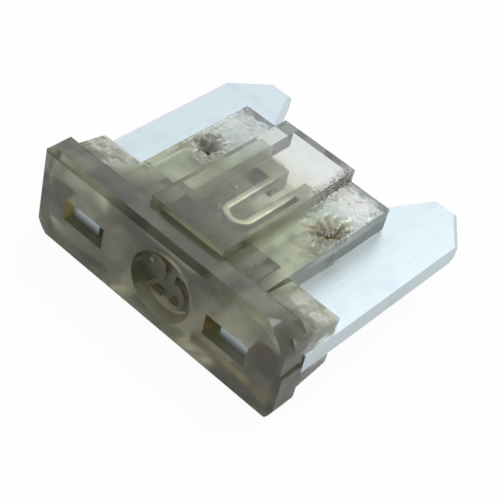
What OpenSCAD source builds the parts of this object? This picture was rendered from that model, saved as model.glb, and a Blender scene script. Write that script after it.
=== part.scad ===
// Low-profile blade fuse, lying on one broad side as it would on a bench.
// Millimetres. X runs across the two blades, Y from the head's face to the
// blade tips and Z up through the thickness. The origin is at the middle of
// the outline, on the surface that the fuse lies on.

/* [Head] */
// Width of the head, across both blades
head_w = 10.92; // [10.8:0.02:12]
// Thickness of the head and of the centre block, which share a resting plane
body_t = 3.8; // [3.5:0.05:4.4]
// Depth of the front flange, which a fuse puller grips
flange_d = 1.2; // [1:0.05:1.5]
// How far each broad face of the flange slopes in over that depth
flange_draft = 0.24; // [0.05:0.01:0.4]
// Bevel round the front face
face_bevel = 0.2; // [0.08:0.01:0.3]
// Radius of the two sharper head corners
corner_r = 0.5; // [0.35:0.05:0.8]
// Radius of the two rounder head corners, which lie diagonally opposite
round_corner_r = 1.2; // [0.8:0.05:1.3]
// Sideways step between the two mould halves at the parting line
mould_step = 0.08; // [0.04:0.01:0.12]
// Distance from the head's face to the back of its neck
head_d = 3; // [2.7:0.05:3.2]
// Thickness of the neck at its back
neck_t = 2; // [1.8:0.02:2.2]
// Slope of the neck's broad faces in degrees, thicker toward the flange
neck_slope = 11; // [4:1:12]
// How far the neck stands in from the flange at each side
neck_step = 0.1; // [0.05:0.01:0.2]
// Radius on the back edges and back corners of the neck
neck_r = 0.3; // [0.1:0.02:0.35]
// Radius of the round recess in the head's face, at its mouth
recess_r = 1.3; // [1:0.05:1.4]
// How far the recess lies to the right of the middle
recess_x = 0.35; // [0:0.05:0.4]
// Depth of the round recess
recess_d = 0.45; // [0.2:0.05:0.7]
// How much smaller in radius the recess is at its floor
recess_taper = 0.12; // [0.02:0.02:0.3]

/* [Body] */
// Distance from the head's face to the end of the plastic
body_l = 7.95; // [7.6:0.05:8.6]
// Width of the centre block
centre_w = 3.2; // [2.9:0.05:3.6]
// How far each shoulder reaches over its blade
shoulder_cover = 0.68; // [0.6:0.02:1]
// Thickness of the shoulders
shoulder_t = 2.76; // [2.4:0.02:3]
// Bevel round the end of the plastic
end_bevel = 0.12; // [0.05:0.01:0.2]
// Width of the link chamber
chamber_w = 2.46; // [2:0.02:2.6]
// Height of the link chamber
chamber_t = 2.1; // [1.6:0.05:2.5]
// Distance from the head's face to the closed end of the chamber
chamber_y = 1; // [0.95:0.05:1.2]
// Radius of the chamber's upright corners
chamber_r = 0.3; // [0.1:0.05:0.5]

/* [Fuse element] */
// Thickness of the zinc sheet
blade_t = 0.8; // [0.6:0.02:1]
// Width of each blade
blade_w = 2.8; // [2.6:0.02:2.85]
// How far the blades' outer edges stand in from the ends of the head
blade_inset = 0.03; // [0.02:0.01:0.1]
// Distance from the head's face to the blade tips
overall_l = 10.85; // [10:0.05:12]
// Width of the bevel on a blade tip's outer corner
tip_out_w = 1; // [0.6:0.05:1.2]
// Length of the bevel on a blade tip's outer corner
tip_out_l = 1.3; // [0.8:0.05:1.6]
// Width of the bevel on a blade tip's inner corner
tip_in_w = 0.85; // [0.5:0.05:1.1]
// Length of the bevel on a blade tip's inner corner
tip_in_l = 1.75; // [1:0.05:2]
// Coined bevel on both faces round the blade tips
coin = 0.16; // [0.05:0.01:0.25]
// Width of the tongue that reaches up to each test opening
tongue_w = 1.3; // [1:0.05:1.5]
// Distance from a blade's inner edge to its tongue
tongue_in = 0.15; // [0.05:0.01:0.25]
// Depth of the tongue's end behind the head's face
tongue_recess = 0.32; // [0.1:0.02:0.6]
// Distance from the head's face to the tabs between the blades
tab_y = 3.1; // [3.05:0.05:3.4]
// Length of the tabs
tab_l = 3.85; // [3.6:0.05:4.2]
// Length of the arms that join the tabs to the link
arm_l = 0.8; // [0.5:0.05:1]
// Width of the fuse link's strip
link_w = 0.24; // [0.16:0.02:0.3]
// Thickness of the fuse link, coined thinner than the sheet
link_t = 0.4; // [0.2:0.02:0.6]
// Outer width of the link's loop
loop_w = 1.22; // [1:0.02:1.4]
// Distance from the chamber's near wall to the link's loop
loop_gap = 2.35; // [2.1:0.05:2.6]
// Diameter of the stake hole through each tab
stake_hole_d = 0.9; // [0.6:0.05:1.1]
// Distance from a blade's inner edge to the middle of its stake hole
stake_in = 0.07; // [0:0.01:0.1]
// Distance from the head's face to the stake holes
stake_y = 5.3; // [4.9:0.05:5.8]

/* [Openings and fits] */
// Width of each test opening in the head's face
test_w = 1.8; // [1.6:0.05:2]
// Clearance of the housing's slot round the fuse element
fit = 0.04; // [0.02:0.01:0.06]
// Diameter at the mouth of each stake dimple
dimple_d = 1.1; // [0.8:0.05:1.15]
// Depth of each stake dimple
dimple_deep = 0.3; // [0.1:0.05:0.5]

/* [Hidden] */
$fn = 48;
// How far a cutting shape reaches past the face that it opens
past = 0.5;
half_w = head_w / 2;
half_t = body_t / 2;
blade_out = half_w - blade_inset;
blade_in = blade_out - blade_w;
shoulder_w = 2 * (blade_in + shoulder_cover);
stake_x = blade_in + stake_in;
// The blades' full width starts just behind the flange
blade_y = flange_d + fit;
tongue_x = blade_in + tongue_in;
test_x = tongue_x + tongue_w + fit - test_w;
tab_in = chamber_w / 2;
arm_y = tab_y + tab_l - arm_l;
loop_r = loop_w / 2;
loop_y = chamber_y + loop_gap + loop_r;
slot_t = blade_t + 2 * fit;
stake_r = stake_hole_d / 2;

// From working coordinates, with Y = 0 on the head's face and Z = 0 in the
// middle of the thickness, to the part's own frame
module placed() translate([0, -overall_l / 2, half_t]) children();

module both_sides() {
    children();
    mirror([1, 0, 0]) children();
}

module both_faces() {
    children();
    mirror([0, 0, 1]) children();
}

// Extrudes a profile drawn in Y and Z into a bar of width w along X
module bar_x(w) translate([-w / 2, 0, 0]) rotate([90, 0, 90]) linear_extrude(w) children();

// Extrudes a profile drawn in X and Z into a bar from the head's face to y1
module bar_y(y1) translate([0, y1, 0]) rotate([90, 0, 0]) linear_extrude(y1) children();

// Extrudes a profile drawn in X and Y into a plate of thickness t about Z = 0
module plate(t) translate([0, 0, -t / 2]) linear_extrude(t) children();

// A rectangle from y0 to y1, centred on X, with rounded far corners
module round_end(w, y0, y1, r) {
    translate([-w / 2, y0]) square([w, y1 - r - y0]);
    translate([-w / 2 + r, y0]) square([w - 2 * r, y1 - y0]);
    for (x = [-w / 2 + r, w / 2 - r]) translate([x, y1 - r]) circle(r);
}

// A rectangle from y0 to y1, centred on X, with bevelled far corners
module bevel_end(w, y0, y1, b) polygon([
    [-w / 2, y0],
    [w / 2, y0],
    [w / 2, y1 - b],
    [w / 2 - b, y1],
    [-w / 2 + b, y1],
    [-w / 2, y1 - b]]);

// The lower mould half's share of the head's outline, seen from the front
module lower_face(w) {
    wide = w - round_corner_r - corner_r;
    translate([-w / 2 + round_corner_r, -half_t]) square([wide, half_t]);
    translate([-w / 2, -half_t + round_corner_r]) square([w, half_t - round_corner_r]);
    translate([w / 2 - corner_r, -half_t + corner_r]) square([corner_r, half_t - corner_r]);
    translate([-w / 2 + round_corner_r, -half_t + round_corner_r]) circle(round_corner_r);
    translate([w / 2 - corner_r, -half_t + corner_r]) circle(corner_r);
}

// Both halves, each moved half of the parting step to its own side. The upper
// half is the lower one turned round the fuse's long axis.
module head_face() {
    for (turn = [0, 180]) rotate(turn)
        translate([mould_step / 2, 0]) lower_face(head_w - mould_step);
}

module flange() intersection() {
    bar_x(head_w) polygon([
        [0, -half_t + face_bevel],
        [face_bevel, -half_t],
        [flange_d, -half_t + flange_draft],
        [flange_d, half_t - flange_draft],
        [face_bevel, half_t],
        [0, half_t - face_bevel]]);
    bar_y(flange_d) head_face();
    plate(body_t) mirror([0, 1]) bevel_end(head_w, -flange_d, 0, face_bevel);
}

// The neck's side view: sloping faces that run into a rounded back
module neck_side() {
    y0 = flange_d / 2;
    back = head_d - neck_r;
    high = neck_t / 2 - neck_r;
    touch_y = back + neck_r * sin(neck_slope);
    touch_z = high + neck_r * cos(neck_slope);
    front_z = touch_z + (touch_y - y0) * tan(neck_slope);
    polygon([[y0, -front_z], [touch_y, -touch_z], [touch_y, touch_z], [y0, front_z]]);
    translate([back, -high]) square([neck_r, 2 * high]);
    for (z = [-high, high]) translate([back, z]) circle(neck_r);
}

// The neck is rounded at its back, both seen from the side and from above
module neck() intersection() {
    bar_x(head_w) neck_side();
    plate(body_t) round_end(head_w - 2 * neck_step, flange_d / 2, head_d, neck_r);
}

// A block of the body from the back of the flange to the bevelled end
module body_block(w, t) intersection() {
    bar_x(w) rotate(-90) bevel_end(t, flange_d, body_l, end_bevel);
    plate(t) bevel_end(w, flange_d, body_l, end_bevel);
}

// The slot that the fuse element slides into from the end. It opens at both
// sides behind the flange, and through the test openings in the head's face.
module slot() plate(slot_t) {
    reach = body_l + past;
    both_sides() {
        translate([blade_in - fit, blade_y - fit]) square([blade_w + past, reach - blade_y]);
        translate([test_x, -past]) square([test_w, blade_y + past]);
    }
    translate([-blade_in, tab_y - fit]) square([2 * blade_in, reach - tab_y]);
}

// Free space round the link, so that it melts without touching the plastic. It
// is open at the end, where the mould's core is drawn out.
module chamber() plate(chamber_t) translate([0, chamber_y]) {
    r = chamber_r;
    reach = body_l + past - chamber_y;
    translate([-chamber_w / 2 + r, 0]) square([chamber_w - 2 * r, reach]);
    translate([-chamber_w / 2, r]) square([chamber_w, reach - r]);
    for (x = [-1, 1]) translate([x * (chamber_w / 2 - r), r]) circle(r);
}

// A shallow cone, so that the moulding leaves its tool. It goes on past the face.
module recess() translate([recess_x, recess_d, 0]) rotate([90, 0, 0]) cylinder(
    r1 = recess_r - recess_taper,
    r2 = recess_r + past * recess_taper / recess_d,
    h = recess_d + past);

// A punch pressed into the shoulder leaves a tapered dimple over each stake
module dimples() both_sides() both_faces()
    translate([stake_x, stake_y, shoulder_t / 2 - dimple_deep])
        cylinder(r1 = stake_r, r2 = dimple_d / 2, h = dimple_deep);

// The plastic that the punch has driven through each tab's hole
module stakes() both_sides() translate([stake_x, stake_y, -slot_t / 2 - fit])
    cylinder(r = stake_r - fit, h = slot_t + 2 * fit);

module housing() placed() color([0.42, 0.42, 0.38, 0.75]) {
    difference() {
        union() {
            flange();
            neck();
            body_block(centre_w, body_t);
            body_block(shoulder_w, shoulder_t);
        }
        slot();
        chamber();
        recess();
        dimples();
    }
    stakes();
}

// The three edges of a blade's tip, from its outer side round to its inner
tip = [
    [blade_out, overall_l - tip_out_l],
    [blade_out - tip_out_w, overall_l],
    [blade_in + tip_in_w, overall_l],
    [blade_in, overall_l - tip_in_l]];

// Bevels the edge from p to q on both faces
module coin_edge(p, q) {
    side = coin * sqrt(2);
    middle = (p + q) / 2;
    translate([middle[0], middle[1], 0]) rotate(atan2(q[1] - p[1], q[0] - p[0]))
        both_faces() translate([0, 0, blade_t / 2])
            rotate([45, 0, 0]) cube([norm(q - p) + 2 * coin, side, side], center = true);
}

// One half of the stamping, without the link
module blade() difference() {
    plate(blade_t) {
        polygon(concat([[blade_in, blade_y], [blade_out, blade_y]], tip));
        translate([tongue_x, tongue_recess]) square([tongue_w, tab_y - tongue_recess]);
        translate([tab_in, tab_y]) square([tongue_x - tab_in, tab_l]);
        translate([loop_r - link_w, arm_y]) square([tab_in, arm_l]);
    }
    for (i = [0 : 2]) coin_edge(tip[i], tip[i + 1]);
    translate([stake_x, stake_y, -blade_t]) cylinder(r = stake_r, h = 2 * blade_t);
}

// A half ring and two legs, flush with the sheet's upper face
module link() translate([0, 0, blade_t / 2 - link_t]) linear_extrude(link_t) {
    translate([0, loop_y]) difference() {
        circle(loop_r);
        circle(loop_r - link_w);
        translate([-loop_r, 0]) square([loop_w, loop_w]);
    }
    both_sides() translate([loop_r - link_w, loop_y]) square([link_w, arm_y - loop_y + link_w]);
}

module fuse_element() placed() color([0.80, 0.87, 0.91]) {
    both_sides() blade();
    link();
}

housing();
fuse_element();
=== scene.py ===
# %% [markdown]
# # A low-profile blade fuse
# The real thing is under 11 mm across and has two pieces: a smoke-grey clear
# plastic moulding, and one zinc stamping that carries two blades and the thin
# link which melts. The fuse lies on its broad side. Nearly all of its look comes
# from light that goes through the plastic, so the walls, the slot and the chamber
# inside have to be real surfaces, and not paint.

# %% Load the fixed frame
import math

import bmesh
import bpy
from mathutils import Matrix, Vector, noise
from mathutils.bvhtree import BVHTree


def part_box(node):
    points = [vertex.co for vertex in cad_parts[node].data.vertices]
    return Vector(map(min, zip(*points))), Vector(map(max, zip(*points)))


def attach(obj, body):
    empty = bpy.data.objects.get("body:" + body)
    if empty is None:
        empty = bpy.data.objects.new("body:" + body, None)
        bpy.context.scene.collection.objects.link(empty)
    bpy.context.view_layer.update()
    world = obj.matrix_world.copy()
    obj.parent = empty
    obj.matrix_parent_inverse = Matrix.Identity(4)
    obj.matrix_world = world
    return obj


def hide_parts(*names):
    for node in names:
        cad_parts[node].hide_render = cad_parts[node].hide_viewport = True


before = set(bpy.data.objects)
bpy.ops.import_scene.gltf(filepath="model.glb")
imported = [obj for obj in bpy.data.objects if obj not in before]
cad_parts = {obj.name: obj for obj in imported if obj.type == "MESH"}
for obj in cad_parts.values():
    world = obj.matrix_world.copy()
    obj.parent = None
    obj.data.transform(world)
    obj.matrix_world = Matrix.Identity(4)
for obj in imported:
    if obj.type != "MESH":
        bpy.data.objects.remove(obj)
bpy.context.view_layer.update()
MM = 0.001
FACE_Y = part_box("housing")[0].y
MID_Z = (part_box("housing")[0].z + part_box("housing")[1].z) / 2
print("head's face at", round(FACE_Y / MM, 3), "mm, middle height", round(MID_Z / MM, 3), "mm")


def spot(x, y, z):
    """A point from millimetres: across, back from the head's face, up from the middle."""
    return Vector((x * MM, FACE_Y + y * MM, MID_Z + z * MM))


# %% [markdown]
# ## Camera
# The photograph looks down at the head from the right, close up and a little
# tilted. The direction is given as two angles and a roll, like the head of a
# tripod, and the lens is the one that shows the fuse at its size in the picture.

# %% Place the camera
SENSOR_MM = 36.0
LENS_MM = 99.99
VIEW_AZIMUTH = math.radians(31.9)
VIEW_ELEVATION = math.radians(42.67)
VIEW_ROLL = math.radians(15.18)
VIEW_DISTANCE = 46.42 * MM
VIEW_TARGET = spot(0.866, 3.826, -0.165)


def place_camera():
    forward = Vector((
        -math.sin(VIEW_AZIMUTH) * math.cos(VIEW_ELEVATION),
        math.cos(VIEW_AZIMUTH) * math.cos(VIEW_ELEVATION),
        -math.sin(VIEW_ELEVATION),
    ))
    level_right = Vector((math.cos(VIEW_AZIMUTH), math.sin(VIEW_AZIMUTH), 0.0))
    level_up = level_right.cross(forward)
    right = math.cos(VIEW_ROLL) * level_right + math.sin(VIEW_ROLL) * level_up
    up = right.cross(forward)
    data = bpy.data.cameras.new("camera")
    data.lens = LENS_MM
    data.sensor_width = SENSOR_MM
    data.clip_start = 1 * MM
    data.clip_end = 10.0
    camera = bpy.data.objects.new("camera", data)
    turn = Matrix((right, up, -forward)).transposed().to_4x4()
    camera.matrix_world = Matrix.Translation(VIEW_TARGET - VIEW_DISTANCE * forward) @ turn
    bpy.context.scene.collection.objects.link(camera)
    bpy.context.scene.camera = camera
    return camera


camera = place_camera()
print("camera at", [round(c / MM, 2) for c in camera.location], "mm")
bpy.context.scene.view_settings.view_transform = "Standard"

# %% [markdown]
# ## Small helpers
# Colours are picked as screen values, so they are written as hex and one
# function turns them into the linear numbers that shaders use. Another adds any
# node with its settings and its inputs, in a material or a geometry tree. Most
# marks on the fuse fade in or out over a span of its length, width or height, so
# a small class holds the shaded point's place and makes such ramps from mm.

# %% Colour and node helpers


def tone(code):
    """Linear red, green, blue and 1 from an sRGB hex colour."""
    values = [int(code[i:i + 2], 16) / 255 for i in (0, 2, 4)]
    linear = [v / 12.92 if v <= 0.04045 else ((v + 0.055) / 1.055) ** 2.4 for v in values]
    return (*linear, 1.0)


def add(tree, kind, inputs=None, **settings):
    """Adds a node. An input is a socket to link from, or a value to set."""
    node = tree.nodes.new(kind)
    for name, value in settings.items():
        setattr(node, name, value)
    for key, value in (inputs or {}).items():
        if isinstance(value, bpy.types.NodeSocket):
            tree.links.new(value, node.inputs[key])
        else:
            node.inputs[key].default_value = value
    return node


def new_material(name):
    material = bpy.data.materials.new(name)
    material.use_nodes = True
    material.node_tree.nodes.clear()
    return material, material.node_tree


def blend(tree, share, a, b, kind="MIX"):
    """Mixes two colours and gives the result's socket."""
    node = add(tree, "ShaderNodeMix", {0: share, 6: a, 7: b}, data_type="RGBA", blend_type=kind)
    return node.outputs[2]


def ramp(tree, value, low, high, to_low=0.0, to_high=1.0, smooth=False):
    """Maps a value from one span to another and gives the result's socket."""
    node = add(tree, "ShaderNodeMapRange", {
        "Value": value, "From Min": low, "From Max": high, "To Min": to_low, "To Max": to_high,
    }, interpolation_type="SMOOTHSTEP" if smooth else "LINEAR")
    return node.outputs[0]


def maths(tree, kind, a, b):
    return add(tree, "ShaderNodeMath", {0: a, 1: b}, operation=kind).outputs[0]


def product(tree, first, *others):
    """Multiplies all the values and gives the result's socket."""
    for other in others:
        first = maths(tree, "MULTIPLY", first, other)
    return first


def highest(tree, first, *others):
    """The highest of all the values, as a socket."""
    for other in others:
        first = maths(tree, "MAXIMUM", first, other)
    return first


class Place:
    """Where the shaded point lies on the fuse. Its ramps run over spans given in mm."""

    def __init__(self, tree):
        self.tree = tree
        self.point = add(tree, "ShaderNodeTexCoord").outputs["Object"]
        self.axes = add(tree, "ShaderNodeSeparateXYZ", {0: self.point}).outputs
        self.off_middle = maths(tree, "ABSOLUTE", self.axes["X"], 0.0)

    def over(self, socket, start, span, values, smooth):
        """Over a span from a start, along the axis that the socket gives."""
        low, high = span
        return ramp(self.tree, socket, start + low * MM, start + high * MM, *values, smooth)

    def across(self, span, values=(0.0, 1.0), smooth=False):
        """Over a span across the fuse, from its middle to the right."""
        return self.over(self.axes["X"], 0.0, span, values, smooth)

    def aside(self, span, values=(0.0, 1.0), smooth=False):
        """Over a span out from the middle, the same on both sides."""
        return self.over(self.off_middle, 0.0, span, values, smooth)

    def back(self, span, values=(0.0, 1.0), smooth=False):
        """Over a span back from the head's face."""
        return self.over(self.axes["Y"], FACE_Y, span, values, smooth)

    def up(self, span, values=(0.0, 1.0), smooth=False):
        """Over a span up from the middle of the thickness."""
        return self.over(self.axes["Z"], MID_Z, span, values, smooth)


# %% [markdown]
# ## Smoke polycarbonate
# Fuse housings are moulded in polycarbonate. It bends light strongly (IOR about
# 1.585), so thick parts throw the floor about and flash. The outer skin is
# polished by the tool, and waves a little on the head. The walls of the slot, the
# chamber and the openings are matt, because those tool cores are only ground, and
# they are painted darker as shade. Face attributes made further down say which
# walls look at another wall, and which of those get a painted golden glint. The
# plastic's own grey is faint: painted shade deepens it in the head, and painted
# light clears it at the open end and pales it in two places on the head. On it lie
# the marks of use: craze lines, white bruises on the ends of the neck, and faint
# dirt. A painted highlight whitens the neck's back corner edges, and painted shade
# darkens the head's end faces and a patch beside the block. Where the punch has
# crushed the plastic it is white, hollow or fibrous, from attributes of the crushed
# ground, and the hollows are painted dark as shade. Shadow rays see a plain clear
# film, because path tracing would find too little light through two refracting walls.

# %% Plastic values
POLYCARBONATE_IOR = 1.585
POLISHED, MATT, HEAD_ROUGH, CRUSHED_ROUGH = 0.07, 0.20, 0.28, 0.25
CLEAR, HALF_CLEAR = 0.97, 0.55
# The head's grey holds painted shade, and the end's clearness holds painted light
SMOKE_AND_SHADE_HEAD = tone("989780")
SMOKE_MIDDLE = tone("f8f7e6")
CLEAR_AND_LIT_END = tone("fdffff")
# Painted shade for the marked walls
WALL_SHADE = tone("7d7d70")
# Painted golden glint
AMBER_GLINT = tone("e0b060")
# Painted shade in the pits' hollows
PIT_SHADE = tone("45432f")
# Also the tone of painted shade on the head's end faces and beside the block
SPECK_AND_SHADE = tone("66654c")
FIBRE = tone("b39b5a")
HAZE = tone("c9c8b2")
HAZE_DENSITY = 260.0
# Also the tone of the painted highlight on the neck's back corner edges
CRUSHED_WHITE_AND_HIGHLIGHT = tone("f2f2ea")
# How wide the marks of each pattern are, and how high the relief is
GRIT_SIZE, PATCH_SIZE, WAVE_SIZE = 0.09 * MM, 0.55 * MM, 1.3 * MM
GRIT_HIGH, WAVE_HIGH = 0.06 * MM, 0.3 * MM
# Noise values between which a mark fades in
PALE_GRIT, DARK_GRIT = (0.49, 0.44), (0.52, 0.56)
BRUISED, STAINED, DIRTY = (0.49, 0.58), (0.45, 0.38), (0.5, 0.68)
# How strong each mark gets
LEFT_END_LIGHT_SHARE, LIGHT_PATCH_SHARE, EDGE_CRAZE_SHARE = 0.25, 0.45, 0.6
BRUISE_SHARE, NECK_HIGHLIGHT_SHARE = 0.85, 0.8
STAIN_SHARE, HEAD_END_SHADE_SHARE, DIRT_SHARE, BLOCK_SIDE_SHADE_SHARE = 0.5, 0.8, 0.3, 0.6

# %% Plastic spans
# Each span says in mm where a change starts and ends. CLEARS, FRONT and BACK count back from
# the head's face, RIM up from the middle, and the others across the fuse from its middle.
HEAD_CLEARS, BODY_CLEARS, CHAMBER_CLEARS = (1.2, 2.8), (4.6, 6.6), (5.4, 6.9)
CHAMBER_SIDE = (1.2, 1.6)
# Where painted light pales the head's grey: toward its left end, and right of the middle
LEFT_END = (-3.4, -5.0)
LIGHT_PATCH_IN, LIGHT_PATCH_OUT = (2.3, 3.3), (3.9, 4.6)
GRIPPED_IN, GRIPPED_OUT = (1.2, 1.5), (1.64, 1.70)
SHOULDER_SIDE, SHOULDER_FRONT, SHOULDER_RIM = (3.0, 3.2), (3.3, 3.9), (0.95, 1.3)
NECK_SIDE, NECK_FRONT = (3.5, 4.1), (1.2, 1.4)
# Where the painted highlight lies on the neck's back corner edges
NECK_CORNER, NECK_BACK = (3.6, 4.0), (2.45, 2.8)
# Where painted shade darkens the head's end faces
HEAD_SIDE, HEAD_BACK = (5.2, 5.4), (1.3, 1.6)
# Where the painted shade patch lies beside the block
BLOCK_SHADE_IN, BLOCK_SHADE_OUT, BLOCK_SHADE_FRONT, BLOCK_SHADE_BACK = (1.4, 1.6), (2.6, 3.2), (1.1, 1.3), (2.5, 3.1)


def smoke_and_shade_colour(tree, at, wall):
    """The grey: faint of itself, deepened in the head by painted shade, cleared at the end by painted light, and
    darkened at each marked wall by painted shade.
    """
    # Painted light: the head's grey is paler at its left end and in a patch right of the middle
    left_end_light = at.across(LEFT_END, (0.0, LEFT_END_LIGHT_SHARE), smooth=True)
    right_light_patch = product(tree, at.across(LIGHT_PATCH_IN, (0.0, LIGHT_PATCH_SHARE), smooth=True),
                          at.across(LIGHT_PATCH_OUT, (1.0, 0.0), smooth=True))
    paler = highest(tree, at.back(HEAD_CLEARS, smooth=True), maths(tree, "ADD", left_end_light, right_light_patch))
    smoke_and_shade = blend(tree, paler, SMOKE_AND_SHADE_HEAD, SMOKE_MIDDLE)
    # The middle keeps its grey up to the chamber's far end, and the painted light clears it only past there
    open_end = at.back(CHAMBER_CLEARS, smooth=True)
    past_chamber = highest(tree, open_end, at.aside(CHAMBER_SIDE))
    clear = maths(tree, "MINIMUM", at.back(BODY_CLEARS, smooth=True), past_chamber)
    smoke_and_shade = blend(tree, clear, smoke_and_shade, CLEAR_AND_LIT_END)
    # Only level walls lose their painted shade toward the end: the upright ones keep it
    normal = add(tree, "ShaderNodeNewGeometry").outputs["True Normal"]
    level = maths(tree, "ABSOLUTE", add(tree, "ShaderNodeSeparateXYZ", {0: normal}).outputs["Z"], 0.0)
    still_shaded = ramp(tree, product(tree, open_end, level), 0.0, 1.0, 1.0, 0.15)
    # Painted glint: the recess's foot and the test openings are tinted golden, as refracted light
    amber_glint = add(tree, "ShaderNodeAttribute", attribute_name="amber_glint").outputs["Fac"]
    wall_shade_tone = blend(tree, amber_glint, WALL_SHADE, AMBER_GLINT)
    # Painted shade: the marked walls multiply the grey darker
    return blend(tree, product(tree, wall, still_shaded), smoke_and_shade, wall_shade_tone, "MULTIPLY")


def craze_share(tree, at):
    """Craze lines: on the block's right side near its end, where it was gripped, and more
    faintly along the shoulders' upper outer edges, which the punch has pushed outwards."""
    gripped = product(tree, at.across(GRIPPED_IN), at.across(GRIPPED_OUT, (1.0, 0.0)),
                      at.back(BODY_CLEARS, smooth=True))
    pushed = product(tree, at.aside(SHOULDER_SIDE, (0.0, EDGE_CRAZE_SHARE)), at.back(SHOULDER_FRONT),
                     at.up(SHOULDER_RIM, smooth=True))
    return highest(tree, gripped, pushed)


def bruise_and_highlight_share(tree, at, patches):
    """White bruises in patches on the two ends of the neck, and a painted highlight along its back corner edges.
    """
    ends = product(tree, at.aside(NECK_SIDE), at.back(NECK_FRONT),
                   ramp(tree, patches, *BRUISED, 0.0, BRUISE_SHARE))
    # Painted highlight: the neck's back corner edges are whitened
    corner_highlight = product(tree, at.aside(NECK_CORNER, (0.0, NECK_HIGHLIGHT_SHARE)), at.back(NECK_BACK))
    return highest(tree, ends, corner_highlight)


def stain_and_shade_share(tree, at, patches):
    """Dark marks: stains between the bruises and faint dirt that leaves the clear end free, with
    painted shade on the head's end faces and in a patch beside the block."""
    stains = product(tree, at.aside(NECK_SIDE), at.back(NECK_FRONT),
                     ramp(tree, patches, *STAINED, 0.0, STAIN_SHARE))
    # Painted shade on the head's end faces
    head_end_shade = product(tree, at.aside(HEAD_SIDE, (0.0, HEAD_END_SHADE_SHARE)), at.back(HEAD_BACK, (1.0, 0.0)))
    dirt = product(tree, ramp(tree, patches, *DIRTY, 0.0, DIRT_SHARE),
                   at.back(BODY_CLEARS, (1.0, 0.2), smooth=True))
    # Painted shade in a patch beside the block
    block_side_shade = product(tree, at.aside(BLOCK_SHADE_IN, (0.0, BLOCK_SIDE_SHADE_SHARE)), at.aside(BLOCK_SHADE_OUT, (1.0, 0.0), smooth=True),
                   at.back(BLOCK_SHADE_FRONT), at.back(BLOCK_SHADE_BACK, (1.0, 0.0), smooth=True))
    return highest(tree, stains, head_end_shade, dirt, block_side_shade)


def skin_normal(tree, at, wall, worn, grit):
    """Bump: waves where the head has shrunk as it cooled, and grit on what is crazed or crushed."""
    on_skin = maths(tree, "MINIMUM", at.back(HEAD_CLEARS, (1.0, 0.04), smooth=True),
                    ramp(tree, wall, 0.0, 1.0, 1.0, 0.1))
    waves = add(tree, "ShaderNodeTexNoise", {"Vector": at.point, "Scale": 1 / WAVE_SIZE, "Detail": 1.5})
    wavy = add(tree, "ShaderNodeBump", {
        "Strength": 0.5, "Distance": WAVE_HIGH, "Height": product(tree, waves.outputs["Fac"], on_skin)})
    gritty = add(tree, "ShaderNodeBump", {
        "Strength": 0.8, "Distance": GRIT_HIGH, "Height": product(tree, grit, worn),
        "Normal": wavy.outputs["Normal"]})
    return gritty.outputs["Normal"]


# %% Plastic material


def smoke_polycarbonate():
    """Moulded polycarbonate, with what moulding, staking and use have left on it, and painted shade, light and
    glint.
    """
    material, tree = new_material("moulded_smoke_polycarbonate")
    at = Place(tree)
    wall, crushed, fibre, hole = [
        add(tree, "ShaderNodeAttribute", attribute_name=name).outputs["Fac"]
        for name in ("matt_shaded_wall", "crushed", "fibre", "hole")]
    grit, patches = [
        add(tree, "ShaderNodeTexNoise", {"Vector": at.point, "Scale": 1 / size, "Detail": detail}).outputs["Fac"]
        for size, detail in ((GRIT_SIZE, 3.0), (PATCH_SIZE, 2.0))]
    smoke_and_shade = smoke_and_shade_colour(tree, at, wall)
    craze = craze_share(tree, at)
    pale = product(tree, craze, ramp(tree, grit, *PALE_GRIT))
    dark = product(tree, craze, ramp(tree, grit, *DARK_GRIT))
    # Whitened: crushed ground, pale craze, bruises, and the painted highlight on the neck
    whitening = highest(tree, crushed, pale, bruise_and_highlight_share(tree, at, patches))
    colour = blend(tree, whitening, smoke_and_shade, CRUSHED_WHITE_AND_HIGHLIGHT)
    # Stains, dirt, and painted shade on the head's ends and beside the block
    colour = blend(tree, stain_and_shade_share(tree, at, patches), colour, SPECK_AND_SHADE)
    colour = blend(tree, fibre, colour, FIBRE)
    # Painted shade: the hollow of each pit is coloured dark
    colour = blend(tree, hole, colour, PIT_SHADE)
    colour = blend(tree, dark, colour, SPECK_AND_SHADE)
    skin_rough = at.back(HEAD_CLEARS, (HEAD_ROUGH, POLISHED), smooth=True)
    rough = highest(tree, skin_rough, product(tree, wall, MATT))
    worn = highest(tree, craze, product(tree, crushed, 0.6))
    body = add(tree, "ShaderNodeBsdfPrincipled", {
        "Base Color": colour, "IOR": POLYCARBONATE_IOR,
        "Roughness": maths(tree, "ADD", rough, product(tree, crushed, CRUSHED_ROUGH)),
        "Transmission Weight": ramp(tree, whitening, 0.0, 1.0, CLEAR, HALF_CLEAR),
        "Normal": skin_normal(tree, at, wall, worn, grit),
    })
    film = add(tree, "ShaderNodeBsdfTransparent", {"Color": smoke_and_shade})
    path = add(tree, "ShaderNodeLightPath")
    mix = add(tree, "ShaderNodeMixShader", {
        0: path.outputs["Is Shadow Ray"], 1: body.outputs[0], 2: film.outputs[0]})
    haze = add(tree, "ShaderNodeVolumeAbsorption", {"Color": HAZE, "Density": HAZE_DENSITY})
    add(tree, "ShaderNodeOutputMaterial", {"Surface": mix.outputs[0], "Volume": haze.outputs[0]})
    return material


plastic = smoke_polycarbonate()
print(plastic.name, len(plastic.node_tree.nodes), "nodes")

# %% [markdown]
# ## Rolled and coined zinc
# The blades are cut from rolled zinc sheet. Rolling leaves it satin, with faint
# lines along its length, and the metal is a bluish white. Between the blades the
# sheet is coined and etched, and has gone dull. The link is burnished by the
# coining die, and dulls where it runs into the arms. A metal's colour goes in
# Base Color, and its IOR stays at the default. The lines are noise stretched
# along the blades, about 0.05 mm apart, which is coarser than the real ones so
# that they show at all.

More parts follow.
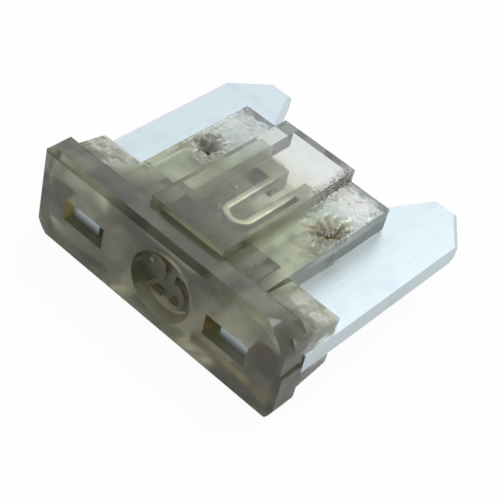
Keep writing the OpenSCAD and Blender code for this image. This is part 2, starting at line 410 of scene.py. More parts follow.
# %% Zinc materials
ZINC = tone("cfdadc")
ZINC_WORN = tone("aebdc6")
ZINC_DULL = tone("9da094")
ZINC_COINED = tone("e8eaef")
ROLL_LINE, ROLL_LENGTH, ROLL_DEPTH = 0.05 * MM, 1.4 * MM, 0.01 * MM
ROLLED_ROUGH, COINED_ROUGH = (0.34, 0.46), 0.4
CLOUD_SIZE = 1.1 * MM
WORN_CLOUDS, WORN_SHARE = (0.5, 0.75), 0.25
SCORED_LINES, SCORED_SHARE = (0.52, 0.72), 0.35
# In mm: out from the middle, and back from the head's face
SHEET_DULLS, LINK_DULLS = (1.3, 1.7), (4.6, 6.2)


def coined_zinc():
    """The link: zinc that the coining die has burnished, which dulls toward the arms."""
    material, tree = new_material("coined_zinc")
    colour = blend(tree, Place(tree).back(LINK_DULLS, smooth=True), ZINC_COINED, ZINC_DULL)
    metal = add(tree, "ShaderNodeBsdfPrincipled", {
        "Base Color": colour, "Metallic": 1.0, "Roughness": COINED_ROUGH})
    add(tree, "ShaderNodeOutputMaterial", {"Surface": metal.outputs[0]})
    return material


def rolled_zinc():
    """The stamping: rolled zinc sheet with fine lines, worn in clouds, and dull in the middle."""
    material, tree = new_material("rolled_zinc")
    at = Place(tree)
    stretch = add(tree, "ShaderNodeMapping", {
        "Vector": at.point, "Scale": (1 / ROLL_LINE, 1 / ROLL_LENGTH, 1 / ROLL_LINE)})
    noise_lines = add(tree, "ShaderNodeTexNoise", {"Vector": stretch.outputs[0], "Scale": 1.0, "Detail": 3.0})
    lines = noise_lines.outputs["Fac"]
    clouds = add(tree, "ShaderNodeTexNoise", {"Vector": at.point, "Scale": 1 / CLOUD_SIZE, "Detail": 3.0})
    worn = ramp(tree, clouds.outputs["Fac"], *WORN_CLOUDS, 0.0, WORN_SHARE, smooth=True)
    scored = ramp(tree, lines, *SCORED_LINES, 0.0, SCORED_SHARE, smooth=True)
    colour = blend(tree, highest(tree, worn, scored), ZINC, ZINC_WORN)
    dull = at.aside(SHEET_DULLS, (1.0, 0.0), smooth=True)
    bump = add(tree, "ShaderNodeBump", {"Strength": 0.25, "Distance": ROLL_DEPTH, "Height": lines})
    metal = add(tree, "ShaderNodeBsdfPrincipled", {
        "Base Color": blend(tree, dull, colour, ZINC_DULL), "Metallic": 1.0,
        "Roughness": ramp(tree, lines, 0.3, 0.7, *ROLLED_ROUGH),
        "Normal": bump.outputs["Normal"],
    })
    add(tree, "ShaderNodeOutputMaterial", {"Surface": metal.outputs[0]})
    return material


zinc = rolled_zinc()
print(zinc.name, len(zinc.node_tree.nodes), "nodes")

# %% [markdown]
# ## Floor and light
# The background of the photograph is bare white, so the camera sees the floor
# almost as plain white light, and only a trace of its real shading. Mirrored and
# refracted rays get a little of that white, and otherwise meet ordinary paper,
# which darkens under the fuse. That dark floor seen through the plastic is most
# of its grey. The room is bright behind the fuse and dim on the camera's side,
# as it is by a window.

# %% Make the floor, the sky and the lamp
PAPER = tone("f4f4f2")
SEEN_WHITE = 0.95
MIRRORED_WHITE = 0.3
THROUGH_WHITE = 0.12
SKY_TONE = tone("f6f9ff")
SKY_LOW, SKY_HIGH = 0.25, 1.1
SKY_AIM, SKY_SPAN = Vector((-0.1, 0.72, 0.68)).normalized(), (-0.3, 0.9)
LAMP_PLACE, LAMP_SIZE, LAMP_POWER = (0.02, 0.16, 0.26), 0.12, 0.2


def paper_floor():
    """White paper, of which the camera sees little but white."""
    material, tree = new_material("white_paper")
    paper = add(tree, "ShaderNodeBsdfDiffuse", {"Color": PAPER})
    white = add(tree, "ShaderNodeEmission", {"Color": (1.0, 1.0, 1.0, 1.0), "Strength": 1.0})
    path = add(tree, "ShaderNodeLightPath").outputs
    seen = product(tree, path["Is Camera Ray"], SEEN_WHITE)
    mirrored = product(tree, path["Is Glossy Ray"], MIRRORED_WHITE)
    through = product(tree, path["Is Transmission Ray"], THROUGH_WHITE)
    share = highest(tree, seen, mirrored, through)
    mix = add(tree, "ShaderNodeMixShader", {0: share, 1: paper.outputs[0], 2: white.outputs[0]})
    add(tree, "ShaderNodeOutputMaterial", {"Surface": mix.outputs[0]})
    return material


def make_floor(half=0.4):
    mesh = bpy.data.meshes.new("floor")
    mesh.from_pydata([(-half, -half, 0), (half, -half, 0), (half, half, 0), (-half, half, 0)],
                     [], [(0, 1, 2, 3)])
    floor = bpy.data.objects.new("floor", mesh)
    bpy.context.scene.collection.objects.link(floor)
    mesh.materials.append(paper_floor())
    return floor


def soft_lamp(name, place, size, power):
    data = bpy.data.lights.new(name, "AREA")
    data.shape = "DISK"
    data.size = size
    data.energy = power
    lamp = bpy.data.objects.new(name, data)
    lamp.location = place
    lamp.rotation_euler = (-Vector(place)).to_track_quat("-Z", "Y").to_euler()
    bpy.context.scene.collection.objects.link(lamp)
    return lamp


make_floor()
world = bpy.data.worlds.new("studio")
world.use_nodes = True
bpy.context.scene.world = world
background = world.node_tree.nodes["Background"]
sky = add(world.node_tree, "ShaderNodeTexCoord")
aim = add(world.node_tree, "ShaderNodeVectorMath", {0: sky.outputs["Generated"], 1: SKY_AIM},
          operation="DOT_PRODUCT")
strength = ramp(world.node_tree, aim.outputs["Value"], *SKY_SPAN, SKY_LOW, SKY_HIGH)
background.inputs["Color"].default_value = SKY_TONE
world.node_tree.links.new(strength, background.inputs["Strength"])
lamp = soft_lamp("window", LAMP_PLACE, LAMP_SIZE, LAMP_POWER)
print("sky strength", SKY_LOW, "to", SKY_HIGH, "and the lamp", lamp.name, "of", LAMP_POWER, "W")

# %% [markdown]
# ## Working on a CAD node's mesh
# A node's mesh is loose triangles that already point outwards. A copy of it is
# welded first, and its flat faces are joined, so that edges can be found by the
# angle between their faces.

# %% Mesh helpers
SHARP = math.radians(25)
LEAST_BEND, ARC_STEP = 0.03, math.radians(13)
ARC_STRIP = 0.2 * MM
WELD = 0.0005 * MM
FLAT = math.radians(0.5)


def merged(node):
    """A copy of a CAD node's mesh as one closed surface with flat faces joined."""
    form = bmesh.new()
    form.from_mesh(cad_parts[node].data)
    bmesh.ops.remove_doubles(form, verts=form.verts, dist=WELD)
    bmesh.ops.dissolve_limit(form, angle_limit=FLAT, verts=form.verts, edges=form.edges)
    return form


def smooth_arcs(form):
    """Smooth shading for the narrow strips of the arcs only, so flat walls stay flat."""
    for face in form.faces:
        longest = max(edge.calc_length() for edge in face.edges)
        bent = any(LEAST_BEND < edge.calc_face_angle(0.0) < ARC_STEP for edge in face.edges)
        face.smooth = face.smooth or (bent and face.calc_area() / longest < ARC_STRIP)
    for edge in form.edges:
        edge.smooth = edge.calc_face_angle(0.0) < SHARP


def round_edges(form, radius, steps, keep=lambda edge: True):
    """Rounds the convex edges that keep() accepts."""
    sharp = [edge for edge in form.edges
             if edge.is_manifold and edge.calc_face_angle_signed() > SHARP and keep(edge)]
    made = bmesh.ops.bevel(form, geom=sharp, offset=radius, segments=steps, profile=0.5,
                           affect="EDGES", offset_type="OFFSET", clamp_overlap=True)
    for face in made["faces"]:
        face.smooth = True
    print("rounded", len(sharp), "edges")


def as_object(form, name):
    """Turns a bmesh into an object at the origin."""
    mesh = bpy.data.meshes.new(name)
    form.to_mesh(mesh)
    form.free()
    piece = bpy.data.objects.new(name, mesh)
    bpy.context.scene.collection.objects.link(piece)
    return piece


def solve(piece, name):
    """The plain mesh that an object's modifiers give, as a new object."""
    bpy.context.view_layer.update()
    seen = piece.evaluated_get(bpy.context.evaluated_depsgraph_get())
    mesh = bpy.data.meshes.new_from_object(seen)
    mesh.name = name
    bpy.data.objects.remove(piece)
    made = bpy.data.objects.new(name, mesh)
    bpy.context.scene.collection.objects.link(made)
    return made


def combined(base, tool, kind):
    """One solid from two, by an exact boolean, as a new bmesh."""
    modifier = base.modifiers.new("shape", "BOOLEAN")
    modifier.operation = kind
    modifier.solver = "EXACT"
    modifier.object = tool
    made = solve(base, "combined")
    bpy.data.objects.remove(tool)
    form = bmesh.new()
    form.from_mesh(made.data)
    bpy.data.objects.remove(made)
    bmesh.ops.dissolve_limit(form, angle_limit=FLAT, verts=form.verts, edges=form.edges)
    for face in form.faces:
        face.smooth = False
    return form


def hand_over(piece, material=None, stands_for=None):
    """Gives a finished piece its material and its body."""
    if material:
        piece.data.materials.clear()
        piece.data.materials.append(material)
    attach(piece, "root")
    if stands_for:
        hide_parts(stands_for)
    print(piece.name, len(piece.data.polygons), "faces")


# %% [markdown]
# ## A plain number on the head
# A plain number stands raised in the round recess of the head. Each digit is one
# bent bar: a line of points is given a width, with mitred corners, and is then
# pushed out of the recess's floor. The bars are united with the moulding, since
# two clear solids that only overlap would show a false wall between them.

# %% Raised digits
STROKE = 0.17
DIGIT_TALL = 1.5
DIGIT_WIDE = 0.6
DIGIT_X = 0.35
DIGIT_APART = 0.95
RECESS_FLOOR = 0.45
PROUD, SUNK = 0.14, 0.1
LEAST_MITRE = 0.5
TWO = [(-0.5, 0.28), (-0.34, 0.45), (0.0, 0.5), (0.36, 0.42), (0.48, 0.2), (0.3, -0.05),
       (-0.5, -0.46), (0.52, -0.46)]
FIVE = [(0.46, 0.47), (-0.36, 0.47), (-0.42, 0.06), (0.02, 0.12), (0.4, 0.0), (0.5, -0.2),
        (0.34, -0.42), (-0.06, -0.5), (-0.48, -0.4)]


def bent_bar(form, points, centre_x):
    """A flat bar of the stroke's width along a digit's points, standing on the recess's floor."""
    line = [Vector((centre_x + x * DIGIT_WIDE, z * DIGIT_TALL)) for x, z in points]
    left, right = [], []
    for i, point in enumerate(line):
        before = (point - line[i - 1]).normalized() if i else None
        after = (line[i + 1] - point).normalized() if i < len(line) - 1 else None
        before, after = before or after, after or before
        mitre = (before.orthogonal() + after.orthogonal()).normalized()
        reach = STROKE / 2 / max(mitre.dot(after.orthogonal()), LEAST_MITRE)
        left.append(point + reach * mitre)
        right.append(point - reach * mitre)
    rims = []
    for y in (RECESS_FLOOR - PROUD, RECESS_FLOOR + SUNK):
        rims.append([[form.verts.new(spot(p.x, y, p.y)) for p in side] for side in (left, right)])
    (front_l, front_r), (back_l, back_r) = rims
    for i in range(len(line) - 1):
        for quad in ((front_l[i], front_l[i + 1], front_r[i + 1], front_r[i]),
                     (back_l[i], back_r[i], back_r[i + 1], back_l[i + 1]),
                     (front_l[i], back_l[i], back_l[i + 1], front_l[i + 1]),
                     (front_r[i], front_r[i + 1], back_r[i + 1], back_r[i])):
            form.faces.new(quad)
    form.faces.new((front_l[0], front_r[0], back_r[0], back_l[0]))
    form.faces.new((front_l[-1], back_l[-1], back_r[-1], front_r[-1]))


digits = bmesh.new()
bent_bar(digits, TWO, DIGIT_X - DIGIT_APART / 2)
bent_bar(digits, FIVE, DIGIT_X + DIGIT_APART / 2)
bmesh.ops.recalc_face_normals(digits, faces=digits.faces)
form = combined(as_object(merged("housing"), "moulding"), as_object(digits, "digits"), "UNION")
print("moulding with digits", len(form.faces), "faces, open edges",
      sum(not edge.is_manifold for edge in form.edges))

# %% [markdown]
# ## Rounded edges, and matt walls with painted shade
# Every moulded edge has a small radius, which draws a thin bright or dark line in
# clear plastic. The Bevel operator makes it, and leaves the edges of the stakes
# and the digits sharp. A ray cast from each face along its own normal then tells
# inner walls from outer ones: if it meets the same piece again, the face looks
# into the slot, the chamber or a hole. Such walls are matt, and their grey is
# painted darker as shade. The upright sides of the block and the shoulders look
# finely ground too, so they get a share of the same mark, painted shade included.
# A second mark says which walls get a painted golden glint: the recess's foot and
# the two test openings.

# %% Round the edges and mark the inner walls
EDGE_RADIUS = 0.05 * MM
STAKE_X, STAKE_Y = 2.7 * MM, FACE_Y + 5.3 * MM
STAKE_CLEAR = 0.7 * MM
DIGITS_FRONT, DIGITS_REACH = 0.2, 1.2 * MM
LOOK_FROM, LOOK_REACH = 0.002 * MM, 4 * MM
RECESS_DEEP, RECESS_HALF, AMBER_FROM = 0.46 * MM, 1.4 * MM, 0.33 * MM
OPENING_DEEP, OPENING_SIDE = 1.8 * MM, 2.2 * MM
SIDES_FROM, BLOCK_HALF = 3 * MM, 2 * MM
FACE_ON, DOWNWARD = 0.9, -0.5
RECESS_SHARE, CEILING_SHARE, BLOCK_SHARE, SHOULDER_SHARE = 0.5, 0.35, 0.55, 0.9


def off_stakes_and_digits(edge):
    """Tells the edges to round from those of the stakes and the digits."""
    middle = (edge.verts[0].co + edge.verts[1].co) / 2
    deep = (middle.y - FACE_Y) / MM
    near_digits = math.hypot(middle.x - DIGIT_X * MM, middle.z - MID_Z) < DIGITS_REACH
    digit = DIGITS_FRONT < deep < RECESS_FLOOR and near_digits
    return math.hypot(abs(middle.x) - STAKE_X, middle.y - STAKE_Y) > STAKE_CLEAR and not digit


def mark_inner_walls(form):
    """Marks how matt and shaded each face is, up to 1 where it looks at another wall, and which get the painted
    glint.
    """
    walls = BVHTree.FromBMesh(form)
    layer = form.faces.layers.float.new("matt_shaded_wall")
    amber_glint = form.faces.layers.float.new("amber_glint")
    for face in form.faces:
        middle = face.calc_center_median()
        hit = walls.ray_cast(middle + LOOK_FROM * face.normal, face.normal, LOOK_REACH)
        recess = middle.y < FACE_Y + RECESS_DEEP and abs(middle.x - DIGIT_X * MM) < RECESS_HALF
        # These faces get the painted golden glint
        if hit[0] and recess and middle.y > FACE_Y + AMBER_FROM:
            face[amber_glint], face[layer] = 1.0, RECESS_SHARE
        elif hit[0] and middle.y < FACE_Y + OPENING_DEEP and abs(middle.x) > OPENING_SIDE:
            face[amber_glint] = 1.0
        if hit[0] and not recess and face.normal.y > -FACE_ON:
            face[layer] = CEILING_SHARE if face.normal.z < DOWNWARD else 1.0
        elif abs(face.normal.x) > FACE_ON and middle.y > FACE_Y + SIDES_FROM:
            face[layer] = BLOCK_SHARE if abs(middle.x) < BLOCK_HALF else SHOULDER_SHARE
    print("matt walls:", sum(face[layer] > 0.0 for face in form.faces))


round_edges(form, EDGE_RADIUS, 3, off_stakes_and_digits)
smooth_arcs(form)
mark_inner_walls(form)

# %% [markdown]
# ## Crushed plastic over the stakes
# A punch has pressed each shoulder down until the plastic flowed through the
# hole in the metal below. It left two ragged pits, with frosted, splintered
# ground from there to the end. A boolean can't make that texture, so the flat
# top is cut open and a fine grid is set in, whose heights follow noise. Fibres
# fan out round a pit, and frost lies in patches behind it. Each point of the grid
# also says how crushed, hollow and fibrous it is, which the material reads.

# %% Heights of the crushed ground
SHOULDER_HIGH = 1.38
SHOULDER_TOP = MID_Z + SHOULDER_HIGH * MM
GRID_STEP = 0.045 * MM
PANEL_X = (1.68 * MM, 3.26 * MM)
PANEL_Y = (4.05 * MM, 7.78 * MM)
# How far out the crushed ground and the hole go, in reaches of the pit, and the hole's steepness
CRUSHED_EDGE, HOLE_EDGE, HOLE_STEEP = 1.25, 0.75, 1.6
# Pairs of a strength and the waves per mm of its noise
RAGGED, FRAYED, GRAIN = (0.35, 2.2), (0.15, 6.0), (0.08, 9.0)
FIBRE_BEND, FAN_EDGE, FROST_PATCHES = (4, 2.0), (0.3, 3.0), (1.2, 1.9)
CRUMB_HIGH, CRUMB_LEVEL, CRUMB_WAVES = 0.26, 0.3, 3.0
FIBRES, FIBRE_HIGH, FAN_REACH, FAN_STEEP = 13, 0.06, 1.15, 2.0
FROST_FROM, FROST_RISE, FROST_COVER, FROST_WHITE = 5.7, 0.9, 0.6, 0.95
FROST_HIGH, FROST_LEVEL, FROST_WAVES = 0.06, 0.2, 5.0
RIM_FADE = 0.12
PITS = {
    -1: {"middle": (-2.55, 5.1), "reach": (0.62, 0.95), "turn": 0.25, "deep": 0.42, "fan": 0.3, "frost": 0.7},
    1: {"middle": (2.9, 5.25), "reach": (0.42, 0.75), "turn": -0.62, "deep": 0.38, "fan": 1.0, "frost": 1.0},
}


def smooth_step(value):
    value = min(max(value, 0.0), 1.0)
    return value * value * (3 - 2 * value)


def rough(place, wave):
    """Noise from a strength and its waves per mm."""
    strength, waves = wave
    return strength * noise.noise(waves * place)


def ground(side, x, y):
    """Height over the flat top, then how crushed, hollow and fibrous it is, at x and y in mm."""
    pit = PITS[side]
    px, py = x - pit["middle"][0], y - pit["middle"][1]
    across = (px * math.cos(pit["turn"]) + py * math.sin(pit["turn"])) / pit["reach"][0]
    along = (py * math.cos(pit["turn"]) - px * math.sin(pit["turn"])) / pit["reach"][1]
    # The third number only picks another piece of the noise for each side
    place = Vector((x, y, 7.0 * side))
    away = math.hypot(across, along) + (rough(place, RAGGED) + rough(place, FRAYED))
    inside = smooth_step(CRUSHED_EDGE - away)
    hole = smooth_step(HOLE_STEEP * (HOLE_EDGE - away))
    near = noise.voronoi(CRUMB_WAVES * place)[0]
    crumbs = CRUMB_HIGH * (near[1] - near[0] - CRUMB_LEVEL)
    height = -pit["deep"] * hole + inside * (crumbs + rough(place, GRAIN))
    spread = math.hypot(px, py)
    stripe = 0.5 + 0.5 * math.sin(FIBRES * math.atan2(py, px) + rough(place, FIBRE_BEND))
    fan = smooth_step(FAN_STEEP * (FAN_REACH - spread + rough(place, FAN_EDGE)))
    fibre = pit["fan"] * fan * stripe
    height += FIBRE_HIGH * fibre
    frost = min(max(FROST_COVER + rough(place, FROST_PATCHES), 0.0), 1.0)
    tail = pit["frost"] * smooth_step((y - FROST_FROM) / FROST_RISE) * frost
    height += FROST_HIGH * tail * (noise.noise(FROST_WAVES * place) - FROST_LEVEL)
    rim = min(abs(x) - PANEL_X[0] / MM, PANEL_X[1] / MM - abs(x), y - PANEL_Y[0] / MM, PANEL_Y[1] / MM - y)
    fade = smooth_step(rim / RIM_FADE)
    crushed = min(1.0, inside + fibre + FROST_WHITE * tail)
    return height * fade * MM, crushed * fade, hole * fade, min(1.0, fibre) * fade


# %% Set the ground into the shoulders
GROUND_MARKS = ("crushed", "hole", "fibre")
LEVEL, TOUCHING = 0.999, 0.01 * MM
ROUNDING_DEEP = 0.35 * MM
CUT_TOLERANCE, SAME_PLACE, RIM_WELD = 1e-9, 1e-7, 2e-7


def open_top(form, side, low, high):
    """Cuts a rectangle out of the flat shoulder top and gives the edges left open."""
    def on_top(face):
        middle = face.calc_center_median()
        return face.normal.z > LEVEL and abs(middle.z - SHOULDER_TOP) < TOUCHING and middle.x * side > 0

    for axis, value in ((0, low.x), (0, high.x), (1, low.y), (1, high.y)):
        place = (low + high) / 2
        place[axis] = value
        faces = [face for face in form.faces if on_top(face)]
        geom = faces + list({e for f in faces for e in f.edges}) + list({v for f in faces for v in f.verts})
        bmesh.ops.bisect_plane(form, geom=geom, dist=CUT_TOLERANCE, plane_co=place,
                               plane_no=Vector((axis == 0, axis == 1, 0)))

    def covered(face):
        middle = face.calc_center_median()
        return (low.x < middle.x < high.x and low.y < middle.y < high.y
                and SHOULDER_TOP - ROUNDING_DEEP < middle.z < SHOULDER_TOP + TOUCHING)

    bmesh.ops.delete(form, geom=[face for face in form.faces if covered(face)], context="FACES")
    return [edge for edge in form.edges if edge.is_boundary]


def marks_between(low, high, fixed):
    """Even marks from low to high, with the nearest one moved onto each fixed value."""
    count = round((high - low) / GRID_STEP)
    marks = [low + (high - low) * i / count for i in range(count + 1)]
    for value in fixed:
        near = min(range(len(marks)), key=lambda i: abs(marks[i] - value))
        if 0 < near < count:
            marks[near] = value
    return sorted(marks)


def set_in_ground(form, side):
    """Opens one shoulder's top, sets the grid in and joins it to the rim."""
    near_x, far_x = sorted((side * PANEL_X[0], side * PANEL_X[1]))
    low = Vector((near_x, FACE_Y + PANEL_Y[0], SHOULDER_TOP))
    high = Vector((far_x, FACE_Y + PANEL_Y[1], SHOULDER_TOP))
    rim_edges = open_top(form, side, low, high)
    rim = {vert for edge in rim_edges for vert in edge.verts}
    steps = []
    for axis, other in ((0, 1), (1, 0)):
        fixed = [v.co[axis] for v in rim
                 if min(abs(v.co[other] - low[other]), abs(v.co[other] - high[other])) < SAME_PLACE]
        steps.append(marks_between(low[axis], high[axis], fixed))
    for name in GROUND_MARKS:
        if not form.verts.layers.float.get(name):
            form.verts.layers.float.new(name)
    layers = [form.verts.layers.float[name] for name in GROUND_MARKS]
    grid = []
    for x in steps[0]:
        grid.append([])
        for y in steps[1]:
            height, *shares = ground(side, x / MM, (y - FACE_Y) / MM)
            vert = form.verts.new((x, y, SHOULDER_TOP + height))
            for layer, share in zip(layers, shares):
                vert[layer] = share
            grid[-1].append(vert)
    for i in range(len(steps[0]) - 1):
        for j in range(len(steps[1]) - 1):
            form.faces.new((grid[i][j], grid[i + 1][j], grid[i + 1][j + 1], grid[i][j + 1]))
    for edge in rim_edges:
        axis = 0 if abs(edge.verts[0].co.x - edge.verts[1].co.x) > SAME_PLACE else 1
        start, end = sorted(edge.verts, key=lambda vert: vert.co[axis])
        for value in steps[axis]:
            if start.co[axis] + SAME_PLACE < value < end.co[axis] - SAME_PLACE:
                share = (value - start.co[axis]) / (end.co[axis] - start.co[axis])
                start = bmesh.utils.edge_split(edge, start, share)[1]
                edge = next(e for e in start.link_edges if end in e.verts)
    bmesh.ops.remove_doubles(form, verts=[v for v in form.verts if v.is_boundary], dist=RIM_WELD)
    print("side", side, "grid", len(steps[0]), "by", len(steps[1]), "edges left open",
          sum(not edge.is_manifold for edge in form.edges))


for side in (-1, 1):
    set_in_ground(form, side)

# %% [markdown]
# ## Air bubbles
# A few bubbles froze in the thick plastic, and they show as dark specks with a
# bright point. A bubble is a wall between plastic and air like any other, so it
# is a little sphere in the same mesh with its faces turned inwards.

# %% Put the bubbles in
BUBBLES = [(-0.36, 3.91, 1.5, 0.08), (2.2, 2.23, 0.8, 0.06), (-3.17, 2.9, 0.75, 0.05),
           (-1.9, 1.9, 0.6, 0.05), (3.6, 1.7, -0.6, 0.07)]
for x, y, z, radius in BUBBLES:
    made = bmesh.ops.create_icosphere(form, subdivisions=2, radius=radius * MM,
                                      matrix=Matrix.Translation(spot(x, y, z)))
    faces = {face for vert in made["verts"] for face in vert.link_faces}
    for face in faces:
        face.smooth = True
    bmesh.ops.reverse_faces(form, faces=list(faces))
hand_over(as_object(form, "moulded_housing"), plastic, "housing")

# %% [markdown]
# ## The zinc stamping
# The stamping is sheared from sheet, so its edges carry a small roll-over, and
# its link is coined much thinner than the rest. The link is cut off the CAD copy
# here with a box, and comes back as a swept strip in the next step.

# %% Stamping without its link
SHEARED_EDGE = 0.035 * MM
LINK_ZONE = (spot(-1.1, 2.8, -1.0), spot(1.1, 6.149, 1.0))


def box_tool(low, high):
    form = bmesh.new()
    stretch = Matrix.Diagonal((*(high - low), 1))
    bmesh.ops.create_cube(form, size=1.0, matrix=Matrix.Translation((low + high) / 2) @ stretch)
    return as_object(form, "box")


form = combined(as_object(merged("fuse_element"), "sheet"), box_tool(*LINK_ZONE), "DIFFERENCE")
round_edges(form, SHEARED_EDGE, 3)
smooth_arcs(form)
hand_over(as_object(form, "zinc_stamping"), zinc, "fuse_element")

# %% [markdown]
# ## The fuse link
# The link is a strip along a hairpin: a leg, a half circle and a leg. A path with
# a rule suits Geometry Nodes. One straight line of points is bent by a formula.
# The distance along the line is turned into an angle that only grows over the
# half circle, and each leg adds what is left over. Then a rounded profile is
# swept along it. Each size is a named input, so the same tree makes any hairpin.

# %% Geometry Nodes helpers


def new_tree(name, inputs):
    """A geometry tree with named inputs, and its input and output nodes."""
    tree = bpy.data.node_groups.new(name, "GeometryNodeTree")
    tree.interface.new_socket("Geometry", in_out="OUTPUT", socket_type="NodeSocketGeometry")
    for label, (kind, value) in inputs.items():
        socket = tree.interface.new_socket(label, in_out="INPUT", socket_type=kind)
        socket.default_value = value
    return tree, add(tree, "NodeGroupInput").outputs, add(tree, "NodeGroupOutput")


def grown(tree, name, values):
    """Runs a tree on an empty mesh with the given inputs and keeps the plain mesh."""
    carrier = bpy.data.objects.new(name + "_carrier", bpy.data.meshes.new(name))
    bpy.context.scene.collection.objects.link(carrier)
    modifier = carrier.modifiers.new("grow", "NODES")
    modifier.node_group = tree
    for item in tree.interface.items_tree:
        if item.in_out == "INPUT" and item.name in values:
            modifier[item.identifier] = values[item.name]
    return solve(carrier, name)


def finish_tree(tree, out, geometry, material):
    real = add(tree, "GeometryNodeRealizeInstances", {0: geometry})
    painted = add(tree, "GeometryNodeSetMaterial", {"Geometry": real.outputs[0], "Material": material})
    tree.links.new(painted.outputs[0], out.inputs[0])


# %% Hairpin tree
FLOAT, INTEGER = "NodeSocketFloat", "NodeSocketInt"


def hairpin_tree():
    tree, given, out = new_tree("hairpin_strip", {
        "Bend Radius": (FLOAT, 0.49 * MM), "Leg Length": (FLOAT, 2.1 * MM),
        "Strip Width": (FLOAT, 0.24 * MM), "Strip Thickness": (FLOAT, 0.4 * MM),
        "Edge Radius": (FLOAT, 0.06 * MM)})
    line = add(tree, "GeometryNodeCurvePrimitiveLine", {"Start": (0, 0, 0), "End": (0, 1 * MM, 0)})
    even = add(tree, "GeometryNodeResampleCurve", {"Curve": line.outputs[0], "Count": 120})
    share = add(tree, "GeometryNodeSplineParameter").outputs["Factor"]
    half_turn = maths(tree, "MULTIPLY", given["Bend Radius"], math.pi)
    both_legs = maths(tree, "MULTIPLY", given["Leg Length"], 2.0)
    run = maths(tree, "MULTIPLY", share, maths(tree, "ADD", half_turn, both_legs))
    past_leg = maths(tree, "SUBTRACT", run, given["Leg Length"])
    angle = maths(tree, "DIVIDE", past_leg, given["Bend Radius"])
    angle = maths(tree, "MINIMUM", maths(tree, "MAXIMUM", angle, 0.0), math.pi)
    x = maths(tree, "MULTIPLY", maths(tree, "COSINE", angle, 0.0), given["Bend Radius"])
    dip = maths(tree, "MULTIPLY", maths(tree, "SINE", angle, 0.0), given["Bend Radius"])
    first = maths(tree, "MAXIMUM", maths(tree, "SUBTRACT", given["Leg Length"], run), 0.0)
    last = maths(tree, "MAXIMUM", maths(tree, "SUBTRACT", past_leg, half_turn), 0.0)
    y = maths(tree, "SUBTRACT", maths(tree, "ADD", first, last), dip)
    place = add(tree, "ShaderNodeCombineXYZ", {0: x, 1: y})
    bent = add(tree, "GeometryNodeSetPosition", {"Geometry": even.outputs[0], "Position": place.outputs[0]})
    upright = add(tree, "GeometryNodeSetCurveNormal", {"Curve": bent.outputs[0]}, mode="Z_UP")
    section = add(tree, "GeometryNodeCurvePrimitiveQuadrilateral", {
        "Width": given["Strip Width"], "Height": given["Strip Thickness"]})
    soft = add(tree, "GeometryNodeFilletCurve", {
        "Curve": section.outputs[0], "Radius": given["Edge Radius"], "Count": 3}, mode="POLY")
    strip = add(tree, "GeometryNodeCurveToMesh", {
        "Curve": upright.outputs[0], "Profile Curve": soft.outputs[0], "Fill Caps": True})
    finish_tree(tree, out, strip.outputs[0], coined_zinc())
    return tree


LINK_BEND = 0.49
LINK_Y, LINK_UP = 3.96, 0.2
LINK_LEG = 2.3
LINK_WIDTH, LINK_THICK = 0.3, 0.39
link = grown(hairpin_tree(), "fuse_link", {
    "Bend Radius": LINK_BEND * MM, "Leg Length": LINK_LEG * MM, "Strip Width": LINK_WIDTH * MM,
    "Strip Thickness": LINK_THICK * MM})
print("link size", [round(c / MM, 3) for c in link.dimensions], "mm")
link.data.transform(Matrix.Translation(spot(0, LINK_Y, LINK_UP)))
hand_over(link)

# %% [markdown]
# ## Splinters round the stakes
# Thin white flakes of plastic stand up round each pit. They repeat, so Geometry
# Nodes sets them out: points on a ring, moved and turned at random from a fixed
# seed, each carrying one narrow three-sided flake.

# %% Splinter tree
FLAKES_LEFT, FLAKES_RIGHT = 22, 30
RING_SHARE = 0.62
MIDDLE_SEED = 11
# Lowest and highest value of what differs from flake to flake: place, tilt in radians, growth
FLAKE_SHIFT = (-0.16 * MM, -0.2 * MM, -0.05 * MM), (0.16 * MM, 0.2 * MM, 0.04 * MM)
FLAKE_TILT = (0.7, -0.5, 0.0), (1.75, 0.5, 6.283)
FLAKE_GROWTH = (0.4, 0.3, 0.5), (1.0, 1.6, 1.3)
BROKEN_WHITE, BROKEN_ROUGH, BROKEN_CLEAR = tone("f0f0e6"), 0.3, 0.6


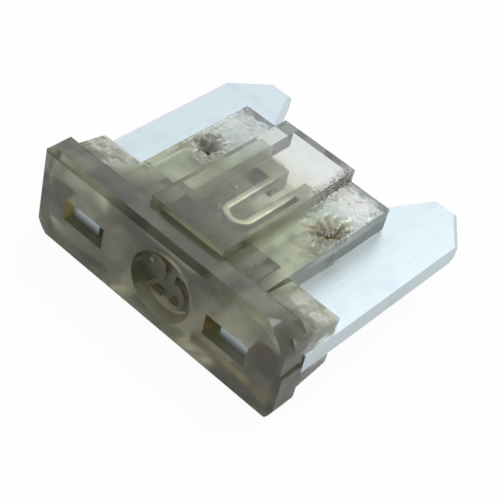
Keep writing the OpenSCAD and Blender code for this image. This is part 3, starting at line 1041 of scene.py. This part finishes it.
def frosted_plastic():
    """Broken polycarbonate: the same plastic, whitened by countless tiny cracks."""
    material, tree = new_material("broken_polycarbonate")
    body = add(tree, "ShaderNodeBsdfPrincipled", {
        "Base Color": BROKEN_WHITE, "Roughness": BROKEN_ROUGH, "IOR": POLYCARBONATE_IOR,
        "Transmission Weight": BROKEN_CLEAR})
    add(tree, "ShaderNodeOutputMaterial", {"Surface": body.outputs[0]})
    return material


def splinter_tree(material):
    tree, given, out = new_tree("splinters", {
        "Count": (INTEGER, 24), "Ring Across": (FLOAT, 0.5 * MM), "Ring Along": (FLOAT, 0.7 * MM),
        "Flake Length": (FLOAT, 0.3 * MM), "Flake Width": (FLOAT, 0.05 * MM), "Seed": (INTEGER, 1)})
    ring = add(tree, "GeometryNodeMeshCircle", {"Vertices": given["Count"], "Radius": 1.0})
    size = add(tree, "ShaderNodeCombineXYZ", {0: given["Ring Across"], 1: given["Ring Along"], 2: 1.0})
    oval = add(tree, "GeometryNodeTransform", {"Geometry": ring.outputs[0], "Scale": size.outputs[0]})
    shift, tilt, growth = [
        add(tree, "FunctionNodeRandomValue", {0: low, 1: high, "Seed": given["Seed"]},
            data_type="FLOAT_VECTOR").outputs[0]
        for low, high in (FLAKE_SHIFT, FLAKE_TILT, FLAKE_GROWTH)]
    strewn = add(tree, "GeometryNodeSetPosition", {"Geometry": oval.outputs[0], "Offset": shift})
    flake = add(tree, "GeometryNodeMeshCone", {
        "Vertices": 3, "Radius Top": 0.0, "Radius Bottom": given["Flake Width"],
        "Depth": given["Flake Length"]})
    turn = add(tree, "FunctionNodeEulerToRotation", {0: tilt})
    placed = add(tree, "GeometryNodeInstanceOnPoints", {
        "Points": strewn.outputs[0], "Instance": flake.outputs[0], "Rotation": turn.outputs[0],
        "Scale": growth})
    finish_tree(tree, out, placed.outputs[0], material)
    return tree


splinters = splinter_tree(frosted_plastic())
for side, name, count in ((-1, "splinters_left", FLAKES_LEFT), (1, "splinters_right", FLAKES_RIGHT)):
    pit = PITS[side]
    flakes = grown(splinters, name, {
        "Count": count, "Ring Across": RING_SHARE * pit["reach"][0] * MM,
        "Ring Along": RING_SHARE * pit["reach"][1] * MM, "Seed": MIDDLE_SEED + side})
    turned = Matrix.Rotation(pit["turn"], 4, "Z")
    flakes.data.transform(Matrix.Translation(spot(*pit["middle"], SHOULDER_HIGH)) @ turned)
    hand_over(flakes)
